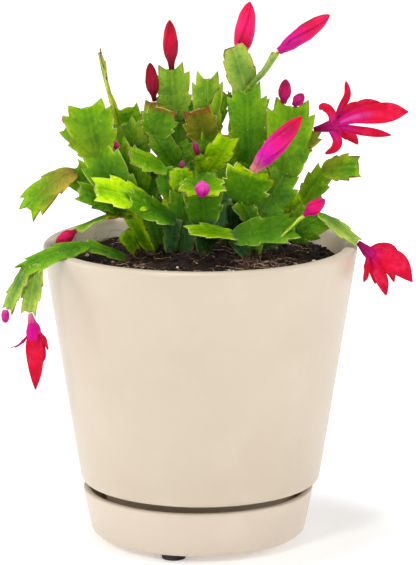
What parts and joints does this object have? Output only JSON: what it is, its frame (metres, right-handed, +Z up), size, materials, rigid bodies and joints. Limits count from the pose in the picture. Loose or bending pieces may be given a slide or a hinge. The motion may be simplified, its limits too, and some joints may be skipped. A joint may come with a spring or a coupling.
{
  "type": "potted christmas cactus",
  "caption": "Flowering christmas cactus with flat toothed leafy stems, buds and open blooms, in a round tapered ceramic pot standing in its saucer.",
  "frame": {"origin": "bottom centre of the bounding box, on the surface the saucer's pads stand on; the pot's axis lies 4.6 mm to the -X side of it", "axes": "+Z up, -Y towards the side the picture shows, +X to its right"},
  "size_m": [0.2153, 0.167, 0.2886],
  "materials": {
    "pot_glaze": "satin cream glaze",
    "saucer_glaze": "satin cream glaze",
    "foot_rubber": "matt",
    "soil": "rough, loose grains",
    "leaf_lime": "waxy",
    "leaf_green": "waxy",
    "leaf_deep": "waxy",
    "bud_crimson": "silky",
    "bud_pink": "silky",
    "bud_magenta": "silky",
    "petal_red": "silky"
  },
  "bodies": {
    "root": {"pot": "pot_glaze", "saucer": "saucer_glaze", "pad_front": "foot_rubber", "pad_right": "foot_rubber", "pad_left": "foot_rubber", "soil": "soil", "stem_left": "leaf_lime", "stem_centre_flat": "leaf_lime", "stem_centre_lime": "leaf_lime", "stem_left_inner": "leaf_green", "stem_front_short": "leaf_green", "stem_front": "leaf_green", "stem_centre_tall": "leaf_green", "stem_middle": "leaf_green", "stem_right_tall": "leaf_green", "stem_right_fork": "leaf_green", "stem_front_droop": "leaf_green", "stem_trailing": "leaf_green", "stem_left_short": "leaf_green", "stem_left_back": "leaf_deep", "stem_right": "leaf_deep", "stem_right_low": "leaf_deep", "stem_back_left": "leaf_deep", "stem_back": "leaf_deep", "stem_back_right": "leaf_deep", "stem_back_far": "leaf_deep", "bud_left_tall": "bud_crimson", "bud_left_small": "bud_crimson", "bud_pair_tall": "bud_crimson", "bud_pair_short": "bud_crimson", "bud_back_left": "bud_crimson", "bud_back_right": "bud_crimson", "budlet_middle": "bud_crimson", "bud_top": "bud_pink", "bud_top_right": "bud_pink", "bud_right_small": "bud_pink", "bud_back": "bud_pink", "budlet_front": "bud_pink", "bud_front": "bud_magenta", "bud_centre_round": "bud_magenta", "bud_left_low": "bud_magenta", "budlet_left": "bud_magenta", "budlet_inner": "bud_magenta", "budlet_trailing": "bud_magenta", "flower_open": "petal_red", "flower_right": "petal_red", "flower_hanging": "petal_red"}
  },
  "joints": []
}
